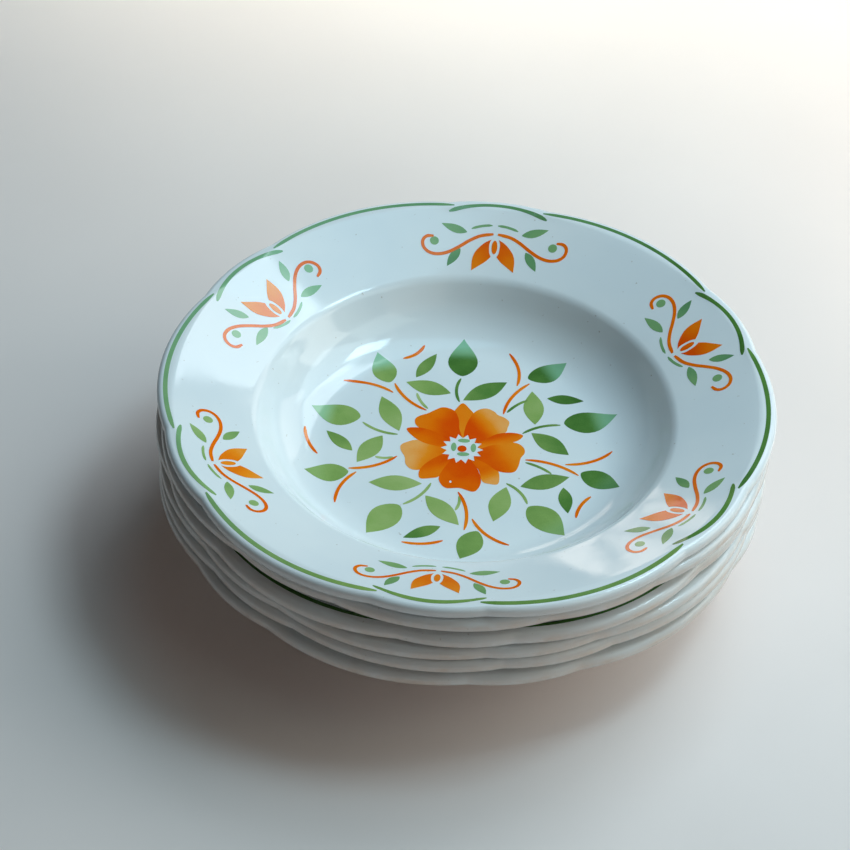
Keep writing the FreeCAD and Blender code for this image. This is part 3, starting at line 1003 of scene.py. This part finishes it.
# Each soft light: name, azimuth and elevation in degrees, size, watts, colour.
SOFTBOXES = [
    ("key", 15, 62, 0.35, 4.8, (0.58, 0.86, 1.0)),
    ("right_sky", 20, 46, 0.9, 6.3, (0.71, 0.92, 1.0)),
    ("back_mid", 56, 48, 0.6, 4.8, (0.83, 0.94, 1.0)),
    ("back_sky", 60, 65, 0.75, 2.6, (0.4, 0.79, 1.0)),
    ("front_right", 330, 45, 0.7, 1.8, (0.85, 1.0, 0.95)),
    ("right_low", 0, 22, 0.7, 4.0, (1.0, 0.98, 0.88)),
    ("back_low", 48, 22, 0.7, 2.6, (1.0, 0.95, 0.9)),
    ("front_low", 300, 28, 0.8, 1.1, (1.0, 0.86, 0.78)),
]


def add_floor():
    half = FLOOR_HALF
    corners = [(-half, -half, 0), (half, -half, 0), (half, half, 0), (-half, half, 0)]
    floor = add_mesh("floor", corners, [(0, 1, 2, 3)], [pale_floor()], smooth=False)


def add_area_light(name, location, size, watts, colour):
    """A square area light that shines straight down until it is turned."""
    data = bpy.data.lights.new(name, "AREA")
    data.shape = "SQUARE"
    data.size = size
    data.energy = watts
    data.color = colour
    light = bpy.data.objects.new(name, data)
    light.location = location
    bpy.context.scene.collection.objects.link(light)
    return light


def add_softbox(name, azimuth, elevation, size, watts, colour):
    """A light that looks at the stack from a direction given in degrees."""
    a, e = math.radians(azimuth), math.radians(elevation)
    away = Vector((math.cos(a) * math.cos(e), math.sin(a) * math.cos(e), math.sin(e)))
    location = Vector(LIGHT_AIM) + away * LIGHT_DISTANCE
    light = add_area_light(name, location, size, watts, colour)
    light.rotation_mode = "QUATERNION"
    light.rotation_quaternion = away.to_track_quat("Z", "Y")


def add_pool(name, x, y, watts, colour):
    """A small light straight over one spot of the floor."""
    light = add_area_light(name, (x, y, POOL_HEIGHT), POOL_SIZE, watts, colour)
    light.data.spread = math.radians(POOL_SPREAD)


def add_lights():
    """Soft light all round, with a window of small panes low behind the stack."""
    for row in SOFTBOXES:
        add_softbox(*row)
    for column in range(WINDOW_PANES):
        for row in range(WINDOW_PANES):
            azimuth = WINDOW_AZIMUTH + WINDOW_AZIMUTH_STEP * column
            elevation = WINDOW_ELEVATION + WINDOW_ELEVATION_STEP * row
            add_softbox(f"window_{column}_{row}", azimuth, elevation, PANE_SIZE, PANE_WATTS,
                        PANE_COLOUR)
    add_pool("back_pool", 0.0, 0.6, 0.8, (1.0, 0.93, 0.75))
    add_pool("right_pool", 0.5, 0.25, 0.8, (1.0, 0.82, 0.61))
    world = bpy.data.worlds.new("studio")
    world.use_nodes = True
    background = world.node_tree.nodes["Background"]
    background.inputs["Color"].default_value = (*STUDIO_COLOUR, 1.0)
    background.inputs["Strength"].default_value = STUDIO_STRENGTH
    bpy.context.scene.world = world


# Fitted to the top plate's outline and decoration in the photograph.
CAMERA_FROM_TOP_PLATE = (-0.01543, -0.76169, 0.72116)
CAMERA_ELEVATION = 42.693
CAMERA_ROLL = 1.679
CAMERA_LENS = 113.19
CAMERA_SENSOR = 36.0


def add_camera():
    """The camera at the photographer's place: high, to the front, with a long lens."""
    top_plate = PlateForm(TOP).origin * MM
    elevation, roll = math.radians(CAMERA_ELEVATION), math.radians(CAMERA_ROLL)
    right = Vector((1, 0, 0))
    up = Vector((0, math.sin(elevation), math.cos(elevation)))
    back = Vector((0, -math.cos(elevation), math.sin(elevation)))
    x_axis = math.cos(roll) * right + math.sin(roll) * up
    y_axis = -math.sin(roll) * right + math.cos(roll) * up
    data = bpy.data.cameras.new("camera")
    data.lens = CAMERA_LENS
    data.sensor_width = CAMERA_SENSOR
    camera = bpy.data.objects.new("camera", data)
    matrix = Matrix((x_axis, y_axis, back)).transposed().to_4x4()
    matrix.translation = Vector(top_plate) + Vector(CAMERA_FROM_TOP_PLATE)
    camera.matrix_world = matrix
    bpy.context.scene.collection.objects.link(camera)
    bpy.context.scene.camera = camera


# ---------------------------------------------------------------- put it together

# The top plate's dark side, and how far on it lies from each lower plate to the next.
TOP_DARK_SIDE = 40.0 - TURNS[TOP - 1]
DARK_SIDE_STEP = 67.0
LEAF_TONE_SPREAD = 0.08

BACK = math.radians(TURNS[TOP - 1])
BACK_TURN = np.array([[math.cos(BACK), math.sin(BACK)], [-math.sin(BACK), math.cos(BACK)]])


def turned_back(groups):
    """Groups of the well, which was measured square to the camera, in the plate's own plan."""
    return [[shape.moved(BACK_TURN, (0, 0)) for shape in group] for group in groups]


def leaf_tones(number):
    """The tones of the well's leaves: as photographed on the top plate, varied below it."""
    if number == TOP:
        return LEAF_TONES
    rng = np.random.default_rng(90 + number)
    spread = rng.uniform(-LEAF_TONE_SPREAD, LEAF_TONE_SPREAD, LEAF_TONES.shape)
    return np.roll(LEAF_TONES, number, axis=1) + spread


def main():
    glaze = white_glaze()
    clay = bare_clay()
    green = sprayed("green_spray", GREEN_STOPS, COOL_GREEN)
    orange = sprayed("orange_spray", ORANGE_STOPS)
    holes = [hole @ BACK_TURN.T for hole in flower_holes()]
    for number in range(1, PLATE_COUNT + 1):
        form = PlateForm(number)
        build_plate(form, glaze)
        build_bare_foot(form, clay)
        if number == TOP:
            flange_orange, flange_green = flange_paint(0.0, TOP_LINE_TONE, TOP_DARK_SIDE)
        else:
            flange_orange, flange_green = flange_paint(LOWER_RIM_INSET, LOWER_LINE_SHADED_TONE,
                                                       DARK_SIDE_STEP * number)
        slab(f"{form.body}_well_green", form, turned_back(well_greens(leaf_tones(number))), [],
             green, "green_paint")
        slab(f"{form.body}_well_orange", form, turned_back(well_oranges()), holes,
             orange, "orange_paint")
        slab(f"{form.body}_flange_orange", form, flange_orange, [], orange, "orange_paint")
        slab(f"{form.body}_flange_green", form, flange_green, [], green, "green_paint")
    add_floor()
    add_lights()
    add_camera()
    bpy.context.scene.view_settings.view_transform = "Standard"


main()
